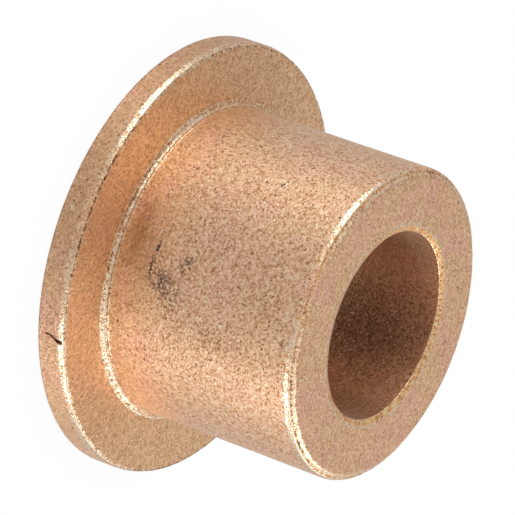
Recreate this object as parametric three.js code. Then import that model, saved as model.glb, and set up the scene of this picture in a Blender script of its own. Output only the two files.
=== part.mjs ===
// Flanged sleeve bushing: a plain bearing in one piece, pressed and sintered from bronze powder.
// Millimetres, +Z along the shaft's axis. The origin is the centre of the flange's back face,
// which lies on z = 0, and the sleeve rises from the flange to the nose.

import * as THREE from 'three';

// Driving dimensions, which are inch sizes

const inch = 25.4;
const boreRadius = ( 3 / 8 ) * inch / 2;
const sleeveRadius = ( 5 / 8 ) * inch / 2;
const flangeRadius = ( 7 / 8 ) * inch / 2;
const flangeThickness = ( 1 / 16 ) * inch;
const overallLength = ( 1 / 2 ) * inch;

// Edges: the punches press a chamfer round each bore mouth and the nose, and sizing rounds the rim

const boreChamfer = { across: 0.36, along: 0.22 };
const noseChamfer = { across: 0.36, along: 0.31 };
const rimRadius = 0.18;
const rootFilletRadius = 0.3;

// Facets

const segmentsRound = 96;
const stepsPerHalfArc = 2;

// One half of the bushing's section, as ( radius, height ), anticlockwise from the bore's back mouth

function bushingSection() {

	const rimCentre = flangeRadius - rimRadius;
	const filletCentre = sleeveRadius + rootFilletRadius;
	const boreMouth = boreRadius + boreChamfer.across;

	const section = new THREE.Path();
	section.moveTo( boreRadius, boreChamfer.along );
	section.lineTo( boreMouth, 0 );
	section.absarc( rimCentre, rimRadius, rimRadius, - Math.PI / 2, 0 );
	section.absarc( rimCentre, flangeThickness - rimRadius, rimRadius, 0, Math.PI / 2 );
	section.absarc(
		filletCentre, flangeThickness + rootFilletRadius, rootFilletRadius, - Math.PI / 2, - Math.PI, true
	);
	section.lineTo( sleeveRadius, overallLength - noseChamfer.along );
	section.lineTo( sleeveRadius - noseChamfer.across, overallLength );
	section.lineTo( boreMouth, overallLength );
	section.lineTo( boreRadius, overallLength - boreChamfer.along );
	section.closePath();
	return section;

}

function sinteredBronze() {

	return new THREE.MeshStandardMaterial( { color: 0xb98d6a, roughness: 0.55, metalness: 0.8 } );

}

function flangedBushing() {

	const geometry = new THREE.LatheGeometry( bushingSection().getPoints( stepsPerHalfArc ), segmentsRound );
	const bushing = new THREE.Mesh( geometry, sinteredBronze() );
	bushing.name = 'flanged_bushing';
	bushing.rotation.x = Math.PI / 2; // the lathe turns round Y, and the bushing's axis is Z
	return bushing;

}

const part = new THREE.Group();
part.add( flangedBushing() );

export default part;
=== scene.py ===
"""A flanged sleeve bushing of sintered bronze, seen nose first on a white ground.

Everything is in metres in the frame of the CAD model: the bushing's axis is +Z, and the centre of
its flange's back face is the origin. Lengths on the part are written in millimetres, and MM turns
them into metres. Angles round the axis are azimuths in degrees from +X, and -90 faces the camera.
"""

import math

import bmesh
import bpy
from mathutils import Matrix, Vector, noise


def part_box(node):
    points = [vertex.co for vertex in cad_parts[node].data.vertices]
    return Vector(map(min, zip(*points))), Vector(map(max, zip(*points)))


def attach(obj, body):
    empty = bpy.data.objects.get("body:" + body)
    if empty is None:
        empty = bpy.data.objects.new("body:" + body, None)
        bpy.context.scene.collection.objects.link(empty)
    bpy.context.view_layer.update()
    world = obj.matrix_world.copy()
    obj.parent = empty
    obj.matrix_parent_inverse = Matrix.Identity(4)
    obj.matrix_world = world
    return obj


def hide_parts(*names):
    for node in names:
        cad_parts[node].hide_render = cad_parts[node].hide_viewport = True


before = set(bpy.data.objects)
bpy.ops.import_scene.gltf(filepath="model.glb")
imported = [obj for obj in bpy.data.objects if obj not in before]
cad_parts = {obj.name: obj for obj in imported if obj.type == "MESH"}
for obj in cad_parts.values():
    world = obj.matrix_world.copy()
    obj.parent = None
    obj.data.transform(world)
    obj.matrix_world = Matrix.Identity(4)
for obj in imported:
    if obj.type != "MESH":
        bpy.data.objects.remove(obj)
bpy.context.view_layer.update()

MM = 0.001
INCH = 25.4

# The bushing in millimetres. Flange and length come from the frame, and the rest are its inch sizes.
node_low, node_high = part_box("flanged_bushing")
FLANGE_R = (node_high - node_low).x / 2 / MM
LENGTH = (node_high - node_low).z / MM
SLEEVE_R = 5 / 16 * INCH
BORE_R = 3 / 16 * INCH
FLANGE_T = 1 / 16 * INCH

# ---------------------------------------------------------------------------- camera

VIEW_TILT = 59.36  # degrees between the bushing's axis and the line of sight
VIEW_ROLL = 109.56  # degrees: turns the axis from upright to the right and a little down
VIEW_DISTANCE = 217.6
FLANGE_ASIDE = -4.066  # where the flange's centre lies from the middle of the view
FLANGE_UP = 0.332
LENS = 305.7


def make_camera():
    """A long lens. The view is tilted and rolled about the centre of the flange's back face."""
    camera = bpy.data.objects.new("camera", bpy.data.cameras.new("camera"))
    camera.data.lens = LENS
    camera.data.clip_start = VIEW_DISTANCE * MM / 20
    camera.data.clip_end = VIEW_DISTANCE * MM * 20
    tilt = Matrix.Rotation(math.radians(VIEW_TILT), 3, "X")
    turn = tilt @ Matrix.Rotation(math.radians(VIEW_ROLL), 3, "Z")
    place = turn @ Vector((-FLANGE_ASIDE, -FLANGE_UP, VIEW_DISTANCE)) * MM
    camera.matrix_world = Matrix.Translation(place) @ turn.to_4x4()
    bpy.context.scene.collection.objects.link(camera)
    bpy.context.scene.camera = camera


make_camera()

# ---------------------------------------------------------------------------- section

ROUND_STEPS = 4
LONGEST_STEP = 0.27
RIM_STEP = 0.06  # closer on the flange's rim, for the crack
RIM_DEPTH = 0.05
EVENNESS = 0.4  # 1 for even steps, and less for closer ones near the corners

# Corners of one half of the section, anticlockwise: radius, height, how far the corner's rounding
# reaches, how brightly it has been rubbed, which also paints a highlight, from 0 to 1, and how much
# dirt and painted shade it can hold.
CORNERS = [
    (BORE_R, 0.12, 0.05, 0.6, 0),
    (BORE_R + 0.34, 0, 0.06, 0.6, 0),
    (FLANGE_R - 0.10, 0, 0.05, 0, 0.3),
    (FLANGE_R, 0.10, 0.05, 0, 0.9),
    # the flange's front rim, worn to a slight taper, and the die line inside it
    (FLANGE_R, FLANGE_T - 0.26, 0.07, 0.6, 0),
    (FLANGE_R - 0.08, FLANGE_T - 0.03, 0.06, 1.0, 0),
    (FLANGE_R - 0.14, FLANGE_T - 0.03, 0.025, 0, 1.2),
    (FLANGE_R - 0.20, FLANGE_T, 0.025, 0, 0),
    # the root of the sleeve
    (SLEEVE_R + 0.42, FLANGE_T, 0.02, 0, 0),
    (SLEEVE_R + 0.37, FLANGE_T - 0.015, 0.02, 0, 0.3),
    (SLEEVE_R + 0.31, FLANGE_T, 0.03, 0.6, 0),
    (SLEEVE_R + 0.19, FLANGE_T + 0.055, 0.03, 0.3, 1.1),
    (SLEEVE_R + 0.08, FLANGE_T + 0.13, 0.10, 0.65, 0),
    (SLEEVE_R, FLANGE_T + 0.30, 0.10, 0.2, 0),
    # the sleeve's nose: a worn shoulder, the punch's land and its chamfer
    (SLEEVE_R, LENGTH - 0.38, 0.08, 0.5, 0),
    (SLEEVE_R - 0.08, LENGTH - 0.20, 0.05, 1.0, 0),
    (SLEEVE_R - 0.20, LENGTH - 0.17, 0.03, 0, 0.9),
    (SLEEVE_R - 0.30, LENGTH - 0.07, 0.05, 0.8, 0),
    (SLEEVE_R - 0.41, LENGTH, 0.07, 0, 0.35),
    (BORE_R + 0.34, LENGTH, 0.05, 0.7, 0),
    (BORE_R, LENGTH - 0.12, 0.03, 0.6, 0),
]


def rounding(before, corner, after):
    """Points of a smooth curve that replaces one corner of the section."""
    middle = Vector(corner[:2])
    start = middle + (Vector(before[:2]) - middle).normalized() * corner[2]
    end = middle + (Vector(after[:2]) - middle).normalized() * corner[2]
    steps = [i / ROUND_STEPS for i in range(ROUND_STEPS + 1)]
    return [start * (1 - t) ** 2 + middle * 2 * t * (1 - t) + end * t**2 for t in steps]


def straight(start, end):
    """Points strictly between two others, closer together near both ends."""
    on_rim = min(start.x, end.x) > FLANGE_R - RIM_DEPTH
    count = math.ceil((end - start).length / (RIM_STEP if on_rim else LONGEST_STEP))
    even = [i / count for i in range(1, count)]
    bunched = [(1 - math.cos(math.pi * t)) / 2 for t in even]
    return [start.lerp(end, EVENNESS * t + (1 - EVENNESS) * u) for t, u in zip(even, bunched)]


def make_section():
    """The closed outline of one half of the section, as (radius, height)."""
    count = len(CORNERS)
    curves = [rounding(CORNERS[i - 1], CORNERS[i], CORNERS[(i + 1) % count]) for i in range(count)]
    outline = []
    for i, curve in enumerate(curves):
        outline += curve
        outline += straight(curve[-1], curves[(i + 1) % count][0])
    return outline


def outward(outline, i):
    """The direction out of the metal at one point of the section, as (radial, upward)."""
    along = outline[(i + 1) % len(outline)] - outline[i - 1]
    return Vector((along.y, -along.x)).normalized()


def near(point, radius, height, reach):
    """1 at a place on the section, and fading away from it."""
    return math.exp(-(((point - Vector((radius, height))).length / reach) ** 2))


# How far from a corner the wear with its painted highlight, and the dirt with its painted shade,
# reach: a length, and a share of the corner's rounding
RUB_AND_HIGHLIGHT_REACH = (0.05, 0.8)
DIRT_AND_SHADE_REACH = (0.04, 0.5)

# Where the tools have scraped the metal orange: radius, height, reach and strength. They are both
# mouths of the bore and the land of the punch.
SCRAPED = [
    (BORE_R + 0.17, LENGTH - 0.06, 0.18, 1.0),
    (BORE_R + 0.17, 0.06, 0.18, 1.0),
    (SLEEVE_R - 0.22, LENGTH - 0.15, 0.10, 0.5),
]
# The die has burnished the sleeve from here on, up to the start of its worn shoulder
BURNISHED_FROM = 5.5
SHOULDER = 0.6


def rub_and_highlight(point):
    """How brightly the metal is rubbed at a point of the section, from 0 to 1. Its pale colour is
    also a painted highlight.
    """
    least, share = RUB_AND_HIGHLIGHT_REACH
    return max(c[3] * near(point, c[0], c[1], least + share * c[2]) for c in CORNERS)


def dirt_and_shade(point):
    """How much dirt and painted shade an edge can hold at a point of the section. The more, the fewer
    gaps it has.
    """
    least, share = DIRT_AND_SHADE_REACH
    return max(c[4] * near(point, c[0], c[1], least + share * c[2]) for c in CORNERS)


def copper(point):
    """How far the tools have scraped the metal to a bright orange, from 0 to 1."""
    return max(strength * near(point, *place) for *place, strength in SCRAPED)


def smooth(value, low, high):
    """0 below low, 1 above high, and a smooth change between."""
    t = max(0, min(1, (value - low) / (high - low)))
    return t * t * (3 - 2 * t)


def burnish(point):
    """How far the die has burnished the sleeve at a point of the section, from 0 to 1."""
    if abs(point.x - SLEEVE_R) > 0.1:
        return 0
    from_root = smooth(point.y, FLANGE_T, BURNISHED_FROM)
    return from_root * smooth(point.y, LENGTH, LENGTH - SHOULDER)


# ---------------------------------------------------------------------------- relief and marks

# A crack in the flange's rim. Its azimuth and top are those of its front end. It leans by so many
# degrees on its way down, and waves.
CRACK = {"azimuth": -57.6, "lean": -1.5, "top": 1.47, "length": 0.98, "width": 0.1, "depth": 0.11}
CRACK_WAVES = (0.25, 7)  # degrees to each side, and radians from end to end
CRACK_DIRT_AND_SHADE = 4  # enough to leave no gap in the dark line
CRACK_LIP = 0.04  # depth at which the crack is full of dirt and painted shade

# Marks lie round a place on the section. Each has its azimuth, radius and height, its reach round
# and across the section, and its strength from 0 to 1.
SMUDGES = [
    (-78.5, SLEEVE_R, 4.6, 0.8, 0.7, 1.0),
    (-75.0, SLEEVE_R, 5.2, 1.1, 1.0, 0.6),
    (-88.0, SLEEVE_R, 5.75, 0.35, 0.5, 0.9),
    (-84.0, SLEEVE_R, 5.3, 0.5, 0.6, 0.5),
    (-81.5, SLEEVE_R, 2.35, 0.35, 0.3, 0.6),
    (-72.0, SLEEVE_R, 12.0, 0.3, 0.25, 0.8),
    (-141.0, SLEEVE_R, 3.6, 1.0, 0.4, 0.5),
    (-66.0, SLEEVE_R, 7.5, 1.2, 2.2, 0.35),
    (-140.0, SLEEVE_R, 7.2, 1.6, 1.2, 0.3),
    (120.0, SLEEVE_R, 8.0, 1.6, 1.4, 0.5),
    (35.0, SLEEVE_R, 5.0, 1.1, 0.8, 0.6),
]
BROWN_PATCHES = [
    (-92.0, SLEEVE_R, 2.7, 1.5, 0.55, 1.0),
    (-88.0, SLEEVE_R, 3.4, 1.7, 0.7, 0.5),
    (-128.0, SLEEVE_R, 2.3, 1.2, 0.6, 0.4),
    (-64.0, SLEEVE_R, 8.6, 0.5, 1.0, 0.4),
    (-150.0, FLANGE_R, 0.7, 8.0, 0.9, 0.6),
    (-100.0, FLANGE_R, 0.7, 6.0, 0.9, 0.5),
    (-62.0, FLANGE_R, 0.7, 4.0, 0.9, 0.25),
    (-25.0, FLANGE_R, 0.7, 5.0, 0.9, 0.15),
    (-38.0, FLANGE_R - 1.5, FLANGE_T, 4.5, 1.8, 0.35),
    (-168.0, FLANGE_R - 1.5, FLANGE_T, 5.0, 1.8, 0.2),
    (60.0, FLANGE_R, 0.7, 7.0, 0.9, 0.35),
    (70.0, SLEEVE_R, 3.0, 2.0, 0.9, 0.5),
]
# Oil in the bore, in streaks, which also paints the shade inside the bore
OIL_AND_SHADE_STREAKS = [
    (84.0, BORE_R, 8.7, 2.9, 5.0, 1.0),
    (85.0, BORE_R, 4.5, 5.0, 4.0, 1.0),
    (-70.0, BORE_R, 6.0, 3.5, 4.5, 0.8),
    (-150.0, BORE_R, 3.0, 2.5, 3.0, 0.6),
]
LEAST_OIL_AND_SHADE = 0.22  # all over the bore, except in a patch of painted light
# Patches of painted light in the bore, where it is left lighter
BORE_PAINTED_LIGHT = [(157.0, BORE_R, 12.2, 2.2, 3.0, 1.0)]
OIL_AND_SHADE_EDGE = 0.08  # how far round the bore's edge the oil and its painted shade get

# Thin straight lines on the surface: radius, azimuth and height of both ends, and width
DARK_LINES = [
    (SLEEVE_R, -92.0, 3.95, -80.0, 3.85, 0.13),
    (SLEEVE_R, -129.4, 8.57, -125.6, 8.34, 0.06),
]
BRIGHT_LINES = [
    (SLEEVE_R, -130.0, 8.68, -125.6, 8.42, 0.08),
    (FLANGE_R, -92.2, 0.55, -91.6, 0.60, 0.13),
]

# Where the surface away from the edges is rubbed as well, which paints highlights on the sleeve
# and its root where the lights reflect
RUBBED_AND_HIGHLIT_PATCHES = [
    (-42.0, SLEEVE_R, 2.3, 4.5, 0.9, 0.3),
    (-132.0, SLEEVE_R, 2.2, 2.5, 0.7, 0.3),
    (-55.0, SLEEVE_R + 0.2, FLANGE_T + 0.05, 3.2, 0.3, 0.9),
    (-134.0, SLEEVE_R + 0.2, FLANGE_T + 0.05, 2.0, 0.3, 0.7),
]

LEAST_DIRT_AND_SHADE = 0.35  # share of its dirt and painted shade that an edge has where it isn't grimy
# Where edges hold more dirt and painted shade
GRIMY_AND_SHADED_EDGES = [
    (-93.0, FLANGE_R, FLANGE_T, 3.6, 0.6, 0.9),
    (-95.0, SLEEVE_R + 0.31, FLANGE_T, 3.0, 0.3, 0.5),
    (-45.0, SLEEVE_R, LENGTH - 0.2, 3.0, 0.7, 0.6),
    (-172.0, SLEEVE_R, LENGTH - 0.2, 2.2, 0.7, 0.7),
    (40.0, FLANGE_R, FLANGE_T, 6.0, 0.6, 0.8),
    (100.0, SLEEVE_R, LENGTH - 0.2, 3.0, 0.6, 0.6),
]

# Where the edges are dull instead of rubbed bright, with no painted highlight. Most of them paint
# shade on edges that get little light.
UNHIGHLIT_DULL_EDGES = [
    (-93.0, FLANGE_R, FLANGE_T, 3.6, 0.6, 0.9),
    (-176.0, FLANGE_R, FLANGE_T, 4.5, 0.6, 0.9),
    (-97.0, SLEEVE_R + 0.31, FLANGE_T, 3.0, 0.12, 1.0),
    (-170.0, SLEEVE_R + 0.2, FLANGE_T, 3.8, 0.35, 0.9),
    (-94.0, SLEEVE_R, LENGTH - 0.2, 2.9, 0.7, 0.9),
    (-174.0, SLEEVE_R, LENGTH - 0.2, 3.2, 0.7, 0.9),
    (40.0, FLANGE_R, FLANGE_T, 6.0, 0.6, 0.8),
    (100.0, SLEEVE_R, LENGTH - 0.2, 3.0, 0.6, 0.6),
]


def turned_by(azimuth, target):
    """Degrees from one azimuth to another, between -180 and 180."""
    return (azimuth - target + 180) % 360 - 180


def mark(marks, azimuth, point):
    """The strongest of some marks at a place, from 0 to 1."""
    found = 0
    for centre, radius, height, across, along, strength in marks:
        off = (point - Vector((radius, height))).length / along
        if off < 3:
            aside = math.radians(turned_by(azimuth, centre)) * radius / across
            found = max(found, strength * math.exp(-(aside**2) - off**2))
    return found


def oil_and_shade(azimuth, point):
    """How dark with oil and painted shade the bore is at a place, from 0 to 1."""
    inside = max(0, min(1, 1 - (point.x - BORE_R) / OIL_AND_SHADE_EDGE))
    # less painted shade in the patch of painted light
    least = LEAST_OIL_AND_SHADE * (1 - mark(BORE_PAINTED_LIGHT, azimuth, point))
    return inside * max(least, mark(OIL_AND_SHADE_STREAKS, azimuth, point))


def crack(azimuth, point):
    """How deep the crack is at a place on the flange's rim."""
    down = (CRACK["top"] - point.y) / CRACK["length"]
    if point.x < FLANGE_R - 0.2 or not 0 < down < 1:
        return 0
    swing, turns = CRACK_WAVES
    middle = CRACK["azimuth"] + CRACK["lean"] * down + swing * math.sin(turns * down)
    aside = math.radians(turned_by(azimuth, middle)) * FLANGE_R
    wide = CRACK["width"] * (1.3 - down) * smooth(down, -0.02, 0.1)
    return CRACK["depth"] * (1 - down) ** 0.3 * max(0, 1 - abs(aside) / wide)


# Unevenness of the metal: how high it stands and how far across it is. Knocks and chips are on
# rubbed edges only.
SWELL = (0.006, 2.6)
LUMPS = (0.005, 0.35)
KNOCKS = (0.05, 0.8)
CHIPS = (0.012, 0.3)


def uneven(place, size):
    """A smooth random value at a place, about from -1 to 1, that changes over some distance."""
    return noise.noise(place / size)


def relief(place, rubbed_and_highlit):
    """How far the pressed and sintered surface stands out at a point."""
    swell = SWELL[0] * uneven(place, SWELL[1])
    lumps = LUMPS[0] * uneven(place, LUMPS[1])
    knocks = KNOCKS[0] * rubbed_and_highlit * max(0, uneven(place, KNOCKS[1]) - 0.25)
    chips = CHIPS[0] * rubbed_and_highlit * uneven(place, CHIPS[1])
    return swell + lumps - knocks + chips


# ---------------------------------------------------------------------------- mesh

TURNS = 360
CRACK_TURNS = 28
CRACK_SPREAD = 2.2  # degrees each side of the crack that get closer steps
MARKS = ("rubbed_and_highlit", "dirt_and_shade", "copper", "burnished", "oiled_and_shaded", "smudge", "brown")


def azimuths():
    """Even steps round the axis, with closer ones at the crack."""
    even = [360 * i / TURNS - 180 for i in range(TURNS)]
    middle = CRACK["azimuth"] + CRACK["lean"] / 2
    fine = [middle + CRACK_SPREAD * (2 * i / CRACK_TURNS - 1) for i in range(CRACK_TURNS + 1)]
    return sorted([a for a in even if abs(a - middle) > CRACK_SPREAD] + fine)


def ring_marks(point):
    """What a point of the section has all round the axis."""
    return {
        "rubbed_and_highlit": rub_and_highlight(point),
        "dirt_and_shade": dirt_and_shade(point),
        "copper": copper(point),
        "burnished": burnish(point),
    }


def place_marks(ring, azimuth, point, cracked):
    """What one place has, as a value for each of MARKS, from what its ring has."""
    # no painted highlight on dull edges, most of which are painted shade
    shiny_and_highlit = ring["rubbed_and_highlit"] * (1 - mark(UNHIGHLIT_DULL_EDGES, azimuth, point))
    worn_and_highlit = max(shiny_and_highlit, mark(RUBBED_AND_HIGHLIT_PATCHES, azimuth, point))
    grimy_and_shaded = ring["dirt_and_shade"] * (LEAST_DIRT_AND_SHADE + mark(GRIMY_AND_SHADED_EDGES, azimuth, point))
    return {
        "rubbed_and_highlit": 0 if cracked else worn_and_highlit,
        "dirt_and_shade": max(grimy_and_shaded, CRACK_DIRT_AND_SHADE * min(1, cracked / CRACK_LIP)),
        "copper": ring["copper"],
        "burnished": ring["burnished"],
        "oiled_and_shaded": oil_and_shade(azimuth, point),
        "smudge": mark(SMUDGES, azimuth, point),
        "brown": mark(BROWN_PATCHES, azimuth, point),
    }


def make_ring(work, layers, point, outward_way):
    """The vertices at one point of the section, all round the axis."""
    ring = ring_marks(point)
    radial, up = outward_way
    vertices = []
    for azimuth in azimuths():
        turn = Matrix.Rotation(math.radians(azimuth), 3, "Z")
        place = turn @ Vector((point.x, 0, point.y))
        cracked = crack(azimuth, point)
        lift = relief(place, ring["rubbed_and_highlit"]) - cracked
        vertex = work.verts.new((place + turn @ Vector((radial, 0, up)) * lift) * MM)
        for name, value in place_marks(ring, azimuth, point, cracked).items():
            vertex[layers[name]] = value
        vertices.append(vertex)
    return vertices


def make_bushing():
    """The whole bushing: rings of vertices round the axis, joined to a closed skin."""
    outline = make_section()
    work = bmesh.new()
    layers = {name: work.verts.layers.float.new(name) for name in MARKS}
    rings = [make_ring(work, layers, p, outward(outline, i)) for i, p in enumerate(outline)]
    for lower, upper in zip(rings, rings[1:] + rings[:1]):
        for i, corner in enumerate(lower):
            work.faces.new((lower[i - 1], corner, upper[i], upper[i - 1])).smooth = True
    mesh = bpy.data.meshes.new("bushing")
    work.to_mesh(mesh)
    work.free()
    bushing = bpy.data.objects.new("bushing", mesh)
    bpy.context.scene.collection.objects.link(bushing)
    return bushing


# ---------------------------------------------------------------------------- shader nodes


def node(tree, kind, inputs, **settings):
    """Adds a node and returns its outputs. An input is a value, or the socket that feeds it."""
    made = tree.nodes.new("ShaderNode" + kind)
    for name, value in settings.items():
        setattr(made, name, value)
    for name, value in inputs.items():
        if isinstance(value, bpy.types.NodeSocket):
            tree.links.new(value, made.inputs[name])
        else:
            made.inputs[name].default_value = value
    return made.outputs


def ramp(tree, value, low, high, start=0.0, end=1.0):
    """Maps low..high smoothly to start..end."""
    inputs = {"Value": value, "From Min": low, "From Max": high, "To Min": start, "To Max": end}
    return node(tree, "MapRange", inputs, interpolation_type="SMOOTHSTEP")["Result"]


def blend(tree, amount, first, second, kind="MIX"):
    """One colour over another. The node has hidden sockets of the same names, for other types."""
    inputs = {"Factor": amount, "A": first, "B": second}
    made = tree.nodes.new("ShaderNodeMix")
    made.data_type = "RGBA"
    made.blend_type = kind
    shown = [s for s in made.inputs if s.type in ("VALUE", "RGBA") and s.enabled]
    for name, value in inputs.items():
        socket = next(s for s in shown if s.name == name)
        if isinstance(value, bpy.types.NodeSocket):
            tree.links.new(value, socket)
        else:
            socket.default_value = value
    return next(s for s in made.outputs if s.enabled)


def maths(tree, operation, first, second=0.0, third=0.0):
    """One sum on up to three numbers."""
    return node(tree, "Math", {0: first, 1: second, 2: third}, operation=operation)[0]


def times(tree, first, second):
    """first * second."""
    return maths(tree, "MULTIPLY", first, second)


def plus(tree, base, value, share):
    """base + share * value."""
    return maths(tree, "MULTIPLY_ADD", value, share, base)


def centred(tree, value):
    """A 0 to 1 noise made to go below 0 as much as above."""
    return maths(tree, "SUBTRACT", value, 0.5)


def vector(tree, operation, inputs):
    """One sum on places or directions. Its outputs are a vector and a number."""
    return node(tree, "VectorMath", inputs, operation=operation)


def speckle(tree, place, scale, detail=2.0, rough=0.6):
    """Noise with features about 1 / scale millimetres across, from about 0.3 to 0.7."""
    inputs = {"Vector": place, "Scale": scale, "Detail": detail, "Roughness": rough}
    return node(tree, "TexNoise", inputs)["Fac"]


def cells(tree, place, scale):
    """The distance from the nearest of scattered points, and a random number for each point."""
    found = node(tree, "TexVoronoi", {"Vector": place, "Scale": scale})
    return found["Distance"], node(tree, "SeparateColor", {"Color": found["Color"]})["Red"]


def on_surface(radius, azimuth, height):
    """A place on the part, from its radius, azimuth and height."""
    angle = math.radians(azimuth)
    return Vector((radius * math.cos(angle), radius * math.sin(angle), height))


def line(tree, place, stroke, ragged):
    """1 on a thin straight line, and 0 beyond its ragged edges."""
    radius, first, low, last, high, width = stroke
    start = on_surface(radius, first, low)
    along = on_surface(radius, last, high) - start
    away = vector(tree, "SUBTRACT", {0: place, 1: start})[0]
    shadow = vector(tree, "DOT_PRODUCT", {0: away, 1: along / along.length_squared})["Value"]
    part = node(tree, "Clamp", {"Value": shadow})[0]
    foot = vector(tree, "SCALE", {0: along, "Scale": part})[0]
    gap = vector(tree, "DISTANCE", {0: away, 1: foot})["Value"]
    return ramp(tree, plus(tree, gap, ragged, width), width, 0.5 * width)


def lines(tree, place, strokes, ragged):
    """The strongest of some thin lines at a place."""
    found = 0.0
    for stroke in strokes:
        found = maths(tree, "MAXIMUM", line(tree, place, stroke, ragged), found)
    return found


# ---------------------------------------------------------------------------- bronze

BRONZE = (0.87, 0.54, 0.328, 1)
PINK_BRONZE = (0.88, 0.52, 0.35, 1)
FLANGE_BRONZE = (0.865, 0.555, 0.32, 1)
TAN_BRONZE = (0.86, 0.55, 0.315, 1)
BURNISHED_BRONZE = (0.875, 0.53, 0.34, 1)
COPPER_ORANGE = (1.0, 0.54, 0.22, 1)
BROWN_BRONZE = (0.50, 0.26, 0.125, 1)
SMUDGE_GREY = (0.17, 0.105, 0.078, 1)
# Dirt and pores, and painted shade in concave corners and in the crack
DIRT_AND_SHADE_BROWN = (0.16, 0.055, 0.018, 1)
# Pale rubbed bronze, which is also a painted highlight on edges and glints
RUBBED_AND_HIGHLIT_BRONZE = (1.0, 0.785, 0.57, 1)
# Darkens the bore with oil and with painted shade
OIL_AND_SHADE_TINT = (0.36, 0.315, 0.32, 1)

# How many of each there are in a millimetre
GRAINS = 7.4
FINE_GRAINS = 15.0
FLAKES = 7.5
PORES = 4.4
PORE_CLUSTERS = 1.3
GLINTS = 6.5
CLOTS = 3.6
TAN_ZONES = 0.42
PINK_ZONES = 0.55

# How strongly the specks show: all over, on burnished metal, and what other marks add
SPECKS = 1.5
BURNISHED_SPECKS = 2.1
MORE_SPECKS = {"oiled_and_shaded": 1.3, "copper": 0.8}
FEWER_IF_BRIGHT = -0.9
SPECK_TINT = {"Red": 0.75, "Green": 1.0, "Blue": 1.3}  # dark specks are browner, bright ones paler
MEAN_LIGHT = 0.97

GRAIN_RELIEF = 0.03 * MM
SHEEN = 0.22  # a pale bloom of fine dust and oil
SHEEN_ROUGHNESS = 0.35


def make_pores(tree, place, fine):
    """1 in the dark pores, which have ragged outlines and lie in clusters."""
    gap, pick = cells(tree, place, PORES)
    crowd = centred(tree, speckle(tree, place, PORE_CLUSTERS))
    size = plus(tree, 0.10, pick, 0.22)
    size = plus(tree, size, crowd, 0.35)
    wobble = plus(tree, gap, fine, 0.3)
    return ramp(tree, maths(tree, "SUBTRACT", wobble, size), 0.14, 0.0)


def make_glints(tree, place):
    """1 on the bright faces of some grains: painted glints, pale in colour, that are also smoother
    and raised.
    """
    gap, pick = cells(tree, place, GLINTS)
    return times(tree, ramp(tree, gap, 0.38, 0.12), ramp(tree, pick, 0.55, 0.7))


def make_powder(tree, place):
    """The pressed powder: coarse and fine grain, the specks they make, pores and glints."""
    grain = speckle(tree, place, GRAINS, 2.0, 0.72)
    fine = speckle(tree, place, FINE_GRAINS, 1.0)
    speck = plus(tree, grain, centred(tree, fine), 0.65)
    flake = cells(tree, place, FLAKES)[1]
    return {
        "grain": grain,
        "fine": fine,
        "speck": plus(tree, speck, centred(tree, flake), 0.24),
        "pore": make_pores(tree, place, fine),
        "glint": make_glints(tree, place),
    }


def metal_colour(tree, place, marks, powder):
    """The bronze with its broad changes of tone, browned, and darkened by oil and painted shade in
    places.
    """
    zones = speckle(tree, place, TAN_ZONES, 3.0)
    colour = blend(tree, ramp(tree, zones, 0.42, 0.56), TAN_BRONZE, BRONZE)
    elsewhere = vector(tree, "ADD", {0: place, 1: (31, 7, 3)})[0]
    blush = speckle(tree, elsewhere, PINK_ZONES, 3.0)
    colour = blend(tree, ramp(tree, blush, 0.5, 0.62), colour, PINK_BRONZE)
    level = node(tree, "SeparateXYZ", {"Vector": place})["Z"]
    on_flange = maths(tree, "COMPARE", level, FLANGE_T, 0.08)
    colour = blend(tree, on_flange, colour, FLANGE_BRONZE)
    colour = blend(tree, times(tree, marks["burnished"], 0.45), colour, BURNISHED_BRONZE)
    browned = times(tree, marks["brown"], ramp(tree, powder["grain"], 0.3, 0.62, 0.45, 1.0))
    colour = blend(tree, browned, colour, BROWN_BRONZE)
    oily_and_shaded = blend(tree, 1.0, colour, OIL_AND_SHADE_TINT, "MULTIPLY")
    return blend(tree, marks["oiled_and_shaded"], colour, oily_and_shaded)


def rubbed_bright_and_highlit(tree, place, marks, powder, ragged):
    """1 where the metal is rubbed bright, with a painted highlight: edges, which are broken up by the
    grain, and thin lines.
    """
    bright = ramp(tree, plus(tree, powder["speck"], marks["rubbed_and_highlit"], 0.3), 0.56, 0.67)
    bright = times(tree, bright, ramp(tree, marks["rubbed_and_highlit"], 0.04, 0.3))
    return maths(tree, "MAXIMUM", bright, lines(tree, place, BRIGHT_LINES, ragged))


def worn_and_highlit_colour(tree, place, marks, bright, colour):
    """The colour with the rubbed places, pale as a painted highlight, and those that the tools have
    scraped.
    """
    colour = blend(tree, times(tree, bright, 0.9), colour, RUBBED_AND_HIGHLIT_BRONZE)
    clots = speckle(tree, place, CLOTS, 1.0)
    scraped = times(tree, marks["copper"], ramp(tree, clots, 0.38, 0.52, 0.65, 1.0))
    return blend(tree, scraped, colour, COPPER_ORANGE)


def speckled_colour(tree, marks, powder, bright, colour):
    """The colour with light and dark specks and with painted glints."""
    spread = ramp(tree, marks["burnished"], 0, 1, SPECKS, BURNISHED_SPECKS)
    for name, more in MORE_SPECKS.items():
        spread = plus(tree, spread, marks[name], more)
    spread = plus(tree, spread, bright, FEWER_IF_BRIGHT)
    shade = times(tree, centred(tree, powder["speck"]), spread)
    tint = {name: plus(tree, MEAN_LIGHT, shade, share) for name, share in SPECK_TINT.items()}
    colour = blend(tree, 1.0, colour, node(tree, "CombineColor", tint)[0], "MULTIPLY")
    return blend(tree, times(tree, powder["glint"], 0.75), colour, RUBBED_AND_HIGHLIT_BRONZE)


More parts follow.
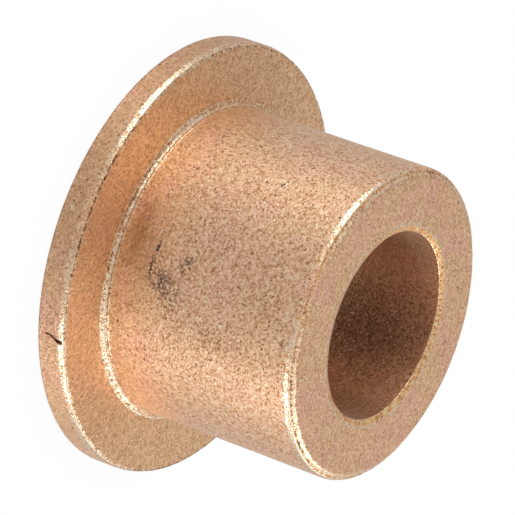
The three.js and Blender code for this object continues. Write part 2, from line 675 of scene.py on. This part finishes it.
def smudged_colour(tree, place, marks, powder, ragged, colour):
    """The colour with grey smudges, which the grain breaks up, and dark lines."""
    smudged = maths(tree, "SUBTRACT", 0.5, powder["grain"])
    smudged = ramp(tree, plus(tree, marks["smudge"], smudged, 2.6), 0.2, 1.3)
    smudged = times(tree, smudged, ramp(tree, marks["smudge"], 0.02, 0.4))
    smudged = maths(tree, "MAXIMUM", smudged, lines(tree, place, DARK_LINES, ragged))
    return blend(tree, smudged, colour, SMUDGE_GREY)


def roughness(tree, marks, powder, bright, soiled_and_shaded):
    """Smoother where the metal is burnished, rubbed or glinting, and rougher in pores, dirt and
    painted shade.
    """
    rough = ramp(tree, powder["grain"], 0.3, 0.7, 0.58, 0.46)
    rough = plus(tree, rough, marks["burnished"], -0.06)
    rough = plus(tree, rough, bright, -0.26)
    rough = plus(tree, rough, maths(tree, "MAXIMUM", powder["pore"], soiled_and_shaded), 0.3)
    return plus(tree, rough, powder["glint"], -0.16)


def grain_normal(tree, powder):
    """The fine relief of the grain, with its pores sunk and its glints raised."""
    height = plus(tree, powder["grain"], powder["fine"], 0.4)
    height = plus(tree, height, powder["pore"], -0.8)
    height = plus(tree, height, powder["glint"], 0.2)
    bump = {"Height": height, "Strength": 0.8, "Distance": GRAIN_RELIEF}
    return node(tree, "Bump", bump)["Normal"]


def make_bronze():
    """Oiled bronze, pressed from powder: its grain, and the marks that the mesh carries."""
    material = bpy.data.materials.new("oiled_sintered_bronze")
    material.use_nodes = True
    tree = material.node_tree
    shader = tree.nodes["Principled BSDF"]
    place = node(tree, "TexCoord", {})["Object"]
    place = vector(tree, "SCALE", {0: place, "Scale": 1 / MM})[0]
    marks = {name: node(tree, "Attribute", {}, attribute_name=name)["Fac"] for name in MARKS}
    powder = make_powder(tree, place)
    ragged = plus(tree, 0.2, centred(tree, powder["grain"]), 5.0)
    bright = rubbed_bright_and_highlit(tree, place, marks, powder, ragged)
    # Dirt broken up by the grain, which also paints the shade in concave corners and in the crack
    soiled_and_shaded = times(tree, marks["dirt_and_shade"], ramp(tree, powder["speck"], 0.58, 0.46, 0.2, 1.0))
    soiled_and_shaded = maths(tree, "MINIMUM", soiled_and_shaded, 1.0)

    colour = metal_colour(tree, place, marks, powder)
    colour = worn_and_highlit_colour(tree, place, marks, bright, colour)
    colour = speckled_colour(tree, marks, powder, bright, colour)
    colour = smudged_colour(tree, place, marks, powder, ragged, colour)
    colour = blend(tree, times(tree, powder["pore"], 0.6), colour, DIRT_AND_SHADE_BROWN)
    colour = blend(tree, soiled_and_shaded, colour, DIRT_AND_SHADE_BROWN)

    rough = roughness(tree, marks, powder, bright, soiled_and_shaded)
    tree.links.new(colour, shader.inputs["Base Color"])
    tree.links.new(rough, shader.inputs["Roughness"])
    tree.links.new(grain_normal(tree, powder), shader.inputs["Normal"])
    shader.inputs["Metallic"].default_value = 1
    shader.inputs["Sheen Weight"].default_value = SHEEN
    shader.inputs["Sheen Roughness"].default_value = SHEEN_ROUGHNESS
    return material


bushing = make_bushing()
bushing.data.materials.append(make_bronze())
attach(bushing, "root")
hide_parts("flanged_bushing")

# ---------------------------------------------------------------------------- studio

TENT_GREY = 0.57
LIGHT_DISTANCE = 250
LIGHT_SIZE = 160
GROUND_R = 600
CONTACT_SHADE = 0.94  # how light the ground is where the bushing stands
CONTACT_REACH = 8
BELOW = 0.01  # keeps the ground just clear of the flange's back face
# Soft round lights: azimuth, elevation, and the light that reaches the bushing
LIGHTS = [(-18, 0, 1.12), (-155, 0, 0.83), (36, 32, 0.80), (-144, 27, 0.50), (0, 58, 0.2)]


def make_light(azimuth, elevation, strength):
    """A soft round light that faces the origin from a direction round the bushing."""
    lamp = bpy.data.lights.new("soft_light", "AREA")
    lamp.shape = "DISK"
    lamp.size = LIGHT_SIZE * MM
    lamp.energy = strength * math.pi * (LIGHT_DISTANCE * MM) ** 2
    light = bpy.data.objects.new("soft_light", lamp)
    tilt = Matrix.Rotation(math.radians(-elevation), 4, "Y")
    away = Matrix.Rotation(math.radians(azimuth), 4, "Z") @ tilt @ Vector((1, 0, 0))
    light.location = away * LIGHT_DISTANCE * MM
    light.rotation_euler = away.to_track_quat("Z", "Y").to_euler()
    light.visible_camera = False
    bpy.context.scene.collection.objects.link(light)


def make_world():
    """A grey tent all round, which the camera sees as white."""
    world = bpy.data.worlds.new("tent")
    world.use_nodes = True
    tree = world.node_tree
    seen = node(tree, "LightPath", {})["Is Camera Ray"]
    sky = tree.nodes["Background"].inputs
    sky["Color"].default_value = (1, 1, 1, 1)
    tree.links.new(ramp(tree, seen, 0, 1, TENT_GREY, 1.0), sky["Strength"])
    bpy.context.scene.world = world


def make_floor():
    """A white ground with a trace of shade round the bushing. It casts and reflects nothing."""
    material = bpy.data.materials.new("white_ground")
    material.use_nodes = True
    tree = material.node_tree
    tree.nodes.clear()
    shade = node(tree, "AmbientOcclusion", {"Distance": CONTACT_REACH * MM})["AO"]
    glow = node(tree, "Emission", {"Strength": ramp(tree, shade, 0, 1, CONTACT_SHADE, 1.0)})[0]
    tree.links.new(glow, tree.nodes.new("ShaderNodeOutputMaterial").inputs["Surface"])
    work = bmesh.new()
    bmesh.ops.create_circle(work, cap_ends=True, segments=96, radius=GROUND_R * MM)
    mesh = bpy.data.meshes.new("ground")
    work.to_mesh(mesh)
    work.free()
    mesh.materials.append(material)
    ground = bpy.data.objects.new("ground", mesh)
    ground.location.z = -BELOW * MM
    ground.visible_shadow = False
    ground.visible_diffuse = False
    ground.visible_glossy = False
    bpy.context.scene.collection.objects.link(ground)


for light in LIGHTS:
    make_light(*light)
make_world()
make_floor()
bpy.context.scene.view_settings.view_transform = "Standard"
